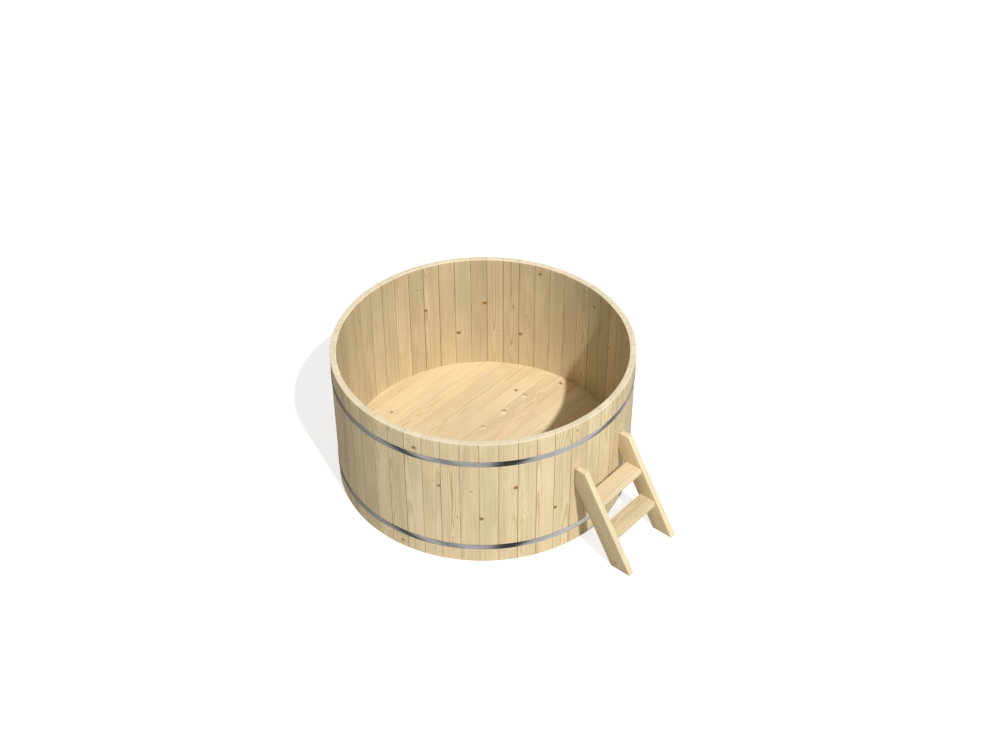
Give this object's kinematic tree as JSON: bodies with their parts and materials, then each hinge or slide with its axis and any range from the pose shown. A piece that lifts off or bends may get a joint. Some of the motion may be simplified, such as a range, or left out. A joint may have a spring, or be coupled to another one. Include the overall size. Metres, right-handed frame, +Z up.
{
  "type": "wooden hot tub",
  "caption": "Round open wooden hot tub of upright staves bound by steel hoops, with a plank floor, a floor drain with a lift-out plug, and a loose step ladder leaning on its wall.",
  "frame": {"origin": "on the tub's axis at ground level, in the middle of the middle bearer's underside", "axes": "+Z up; the ladder leans on the -Y side; the bearers run along Y, the floor boards along X"},
  "size_m": [2.0044, 2.4806, 1],
  "materials": {
    "stave_wood": "planed",
    "floor_wood": "planed",
    "bearer_wood": "sawn",
    "ladder_wood": "planed",
    "hoop_steel": "bright rolled",
    "fastener_steel": "plain",
    "drain_steel": "turned",
    "seal_rubber": "moulded"
  },
  "bodies": {
    "tub": {"staves_01": "stave_wood", "staves_02": "stave_wood", "staves_03": "stave_wood", "staves_04": "stave_wood", "staves_05": "stave_wood", "staves_06": "stave_wood", "staves_07": "stave_wood", "staves_08": "stave_wood", "staves_09": "stave_wood", "staves_10": "stave_wood", "staves_11": "stave_wood", "staves_12": "stave_wood", "staves_13": "stave_wood", "floor_board_01": "floor_wood", "floor_board_02": "floor_wood", "floor_board_03": "floor_wood", "floor_board_04": "floor_wood", "floor_board_05": "floor_wood", "floor_board_06": "floor_wood", "floor_board_07": "floor_wood", "floor_board_08": "floor_wood", "floor_board_09": "floor_wood", "floor_board_10": "floor_wood", "floor_board_11": "floor_wood", "floor_board_12": "floor_wood", "floor_board_13": "floor_wood", "floor_board_14": "floor_wood", "floor_board_15": "floor_wood", "floor_board_16": "floor_wood", "floor_board_17": "floor_wood", "bearer_left": "bearer_wood", "bearer_middle": "bearer_wood", "bearer_right": "bearer_wood", "upper_hoop": "hoop_steel", "lower_hoop": "hoop_steel", "upper_hoop_lugs": "hoop_steel", "lower_hoop_lugs": "hoop_steel", "hoop_bolts": "fastener_steel", "hoop_nuts": "fastener_steel", "hoop_washers": "fastener_steel", "hoop_rivets": "fastener_steel", "bearer_screws": "fastener_steel", "drain_body": "drain_steel", "drain_nut": "drain_steel", "drain_gasket": "seal_rubber", "drain_washer": "seal_rubber"},
    "ladder": {"ladder_stringer_left": "ladder_wood", "ladder_stringer_right": "ladder_wood", "ladder_step_lower": "ladder_wood", "ladder_step_upper": "ladder_wood", "ladder_screws": "fastener_steel"},
    "plug": {"drain_plug": "seal_rubber"},
    "pull_ring": {"drain_pull_ring": "drain_steel"}
  },
  "joints": [
    {"name": "ladder_pull", "type": "slide", "parent": "tub", "child": "ladder", "axis": [0, -1, 0], "range_m": [0, 0.5]},
    {"name": "plug_lift", "type": "slide", "parent": "tub", "child": "plug", "axis": [0, 0, 1], "range_m": [0, 0.25]},
    {"name": "ring_swing", "type": "hinge", "parent": "plug", "child": "pull_ring", "pos_m": [-0.31, -0.68449, 0.099], "axis": [0, -1, 0], "range_deg": [0, 150]}
  ]
}
